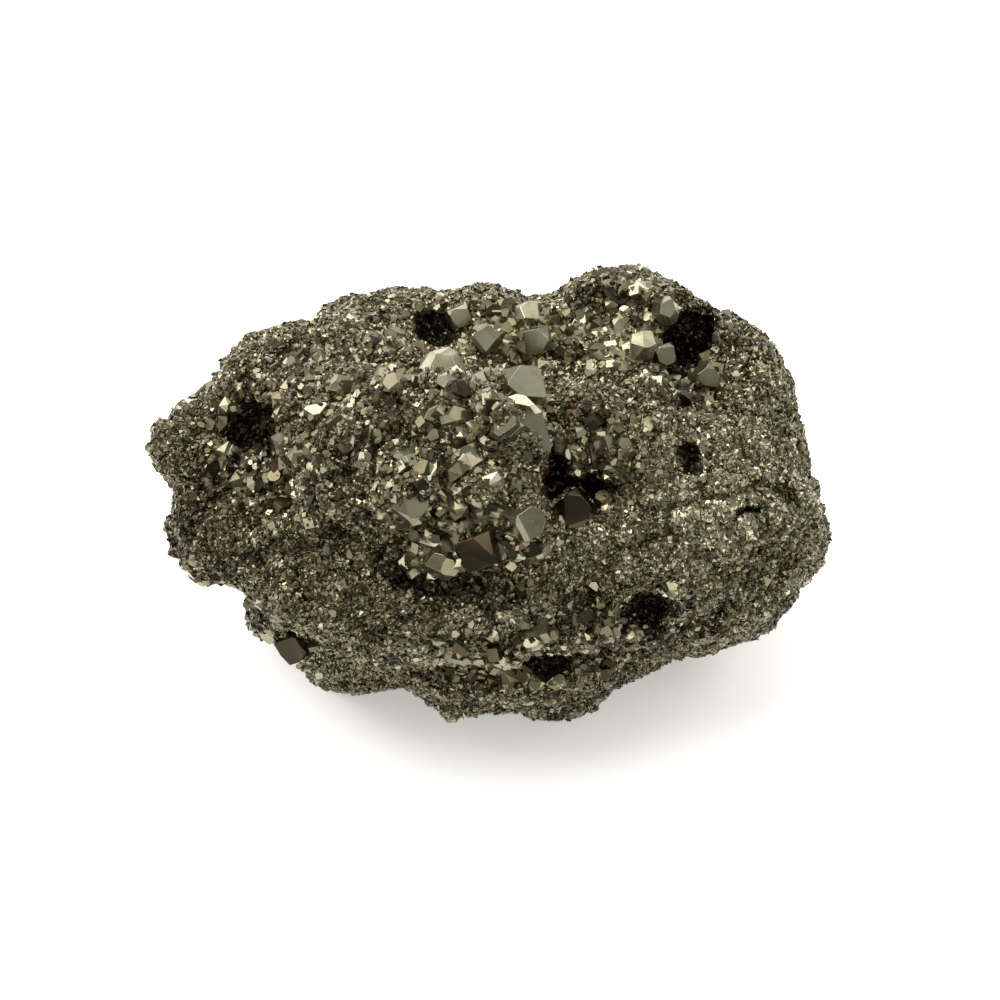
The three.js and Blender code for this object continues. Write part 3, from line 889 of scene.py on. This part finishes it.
def flat_crystal(made, tones, tree, across, up, width, height, turn, lean, tone):
    start = on_face(across, up, 60)
    place, _, _, _ = tree.ray_cast(start, -OUT)
    outward = (ACROSS * lean[0] + UP_FACE * lean[1] + OUT).normalized()
    spin = Matrix.Rotation(math.radians(turn), 4, OUT)
    right = (spin @ ACROSS).normalized()
    above = outward.cross(right).normalized()
    right = above.cross(outward)
    corners = []
    for level, swell in ((0.22, 1.0), (-0.9, 1.35)):
        for i in range(SLAB_SIDES):
            angle = 2 * math.pi * (i + 0.25 * math.sin(3.1 * i + turn)) / SLAB_SIDES
            across_slab = right * math.cos(angle) * width / 2
            up_slab = above * math.sin(angle) * height / 2
            corners.append(place + ((across_slab + up_slab) * swell + outward * level) * MM)
    slab = bmesh.new()
    for corner in corners:
        slab.verts.new(corner)
    bmesh.ops.convex_hull(slab, input=slab.verts)
    bmesh.ops.dissolve_limit(slab, angle_limit=0.01, verts=slab.verts, edges=slab.edges)
    bmesh.ops.bevel(slab, geom=slab.edges[:], offset=0.04 * MM, segments=1, affect="EDGES")
    bmesh.ops.recalc_face_normals(slab, faces=slab.faces)
    one = bpy.data.meshes.new("slab")
    slab.to_mesh(one)
    slab.free()
    made.from_mesh(one)
    tones += [tone] * len(one.vertices)
    bpy.data.meshes.remove(one)


def flat_crystals():
    tree = BVHTree.FromPolygons([tuple(p) for p in skin_points], [tuple(p.vertices) for p in skin_mesh.polygons])
    made = bmesh.new()
    tones = []
    for row in FLAT_CRYSTALS:
        flat_crystal(made, tones, tree, *row)
    mesh = bpy.data.meshes.new("flat_crystals")
    made.to_mesh(mesh)
    made.free()
    mesh.materials.append(CRYSTAL_FINISH)
    store(mesh, "tone", tones)
    store(mesh, "open_sky", np.full(len(mesh.vertices), 1.0))
    store(mesh, "stain_and_painted_light", np.zeros(len(mesh.vertices)))
    piece = link("flat_crystals", mesh)
    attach(piece, "root")
    print("flat crystals:", len(FLAT_CRYSTALS))


flat_crystals()

# %% [markdown]
# ## The named crystals
# These came with the frame as plain faceted solids. The real ones have worn edges and low growth steps on their
# faces. Each is rebuilt from a merged copy: grown a little to fill its socket, a few corners cut off, and its edges
# bevelled.

# %% Named crystals
SOCKET_GROWTH = 1.12
EDGE_WEAR = 0.03 * MM
CHIPS = 9


def chipped(made, middle, radius, seed):
    """Cuts a few corners off a crystal with random planes, as its neighbours did while it grew."""
    draws = np.random.default_rng(seed)
    for _ in range(CHIPS):
        away = Vector(draws.normal(size=3)).normalized()
        place = middle + away * radius * draws.uniform(0.8, 1.05)
        cut = bmesh.ops.bisect_plane(
            made, geom=made.verts[:] + made.edges[:] + made.faces[:], plane_co=place, plane_no=away,
            clear_outer=True,
        )
        rim = [part for part in cut["geom_cut"] if isinstance(part, bmesh.types.BMEdge)]
        if rim:
            bmesh.ops.holes_fill(made, edges=rim)


def grown_crystal(node, seed, tone):
    made = merged_copy(node)
    bmesh.ops.dissolve_limit(made, angle_limit=0.02, verts=made.verts, edges=made.edges)
    middle = crystal_middle(node)
    bmesh.ops.scale(made, vec=(SOCKET_GROWTH,) * 3, space=Matrix.Translation(-middle), verts=made.verts)
    chipped(made, middle, crystal_radius(node), seed)
    bmesh.ops.bevel(made, geom=made.edges[:], offset=EDGE_WEAR, segments=1, affect="EDGES")
    bmesh.ops.recalc_face_normals(made, faces=made.faces)
    mesh = bpy.data.meshes.new(node + "_grown")
    made.to_mesh(mesh)
    made.free()
    mesh.materials.append(CRYSTAL_FINISH)
    store(mesh, "tone", np.full(len(mesh.vertices), tone))
    store(mesh, "open_sky", np.full(len(mesh.vertices), 1.0))
    store(mesh, "stain_and_painted_light", np.zeros(len(mesh.vertices)))
    return link(node + "_grown", mesh)


TONE_OF = {
    "crown_crystal": 0.68, "crown_blade_left": 0.78, "crown_blade_right": 0.7, "shield_crystal": 0.6,
    "brow_crystal": 0.9, "cleft_crystal": 0.02, "groove_crystal_middle": 0.08, "spur_crystal": 0.8,
    "basin_crystal_bright": 1.0, "basin_crystal_right": 0.95, "foot_crystal": 0.03,
}
for seed, name in enumerate(crystal_names):
    crystal = grown_crystal(name, seed, TONE_OF.get(name, 0.6))
    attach(crystal, "root")
    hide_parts(name)
print("named crystals:", len(crystal_names))
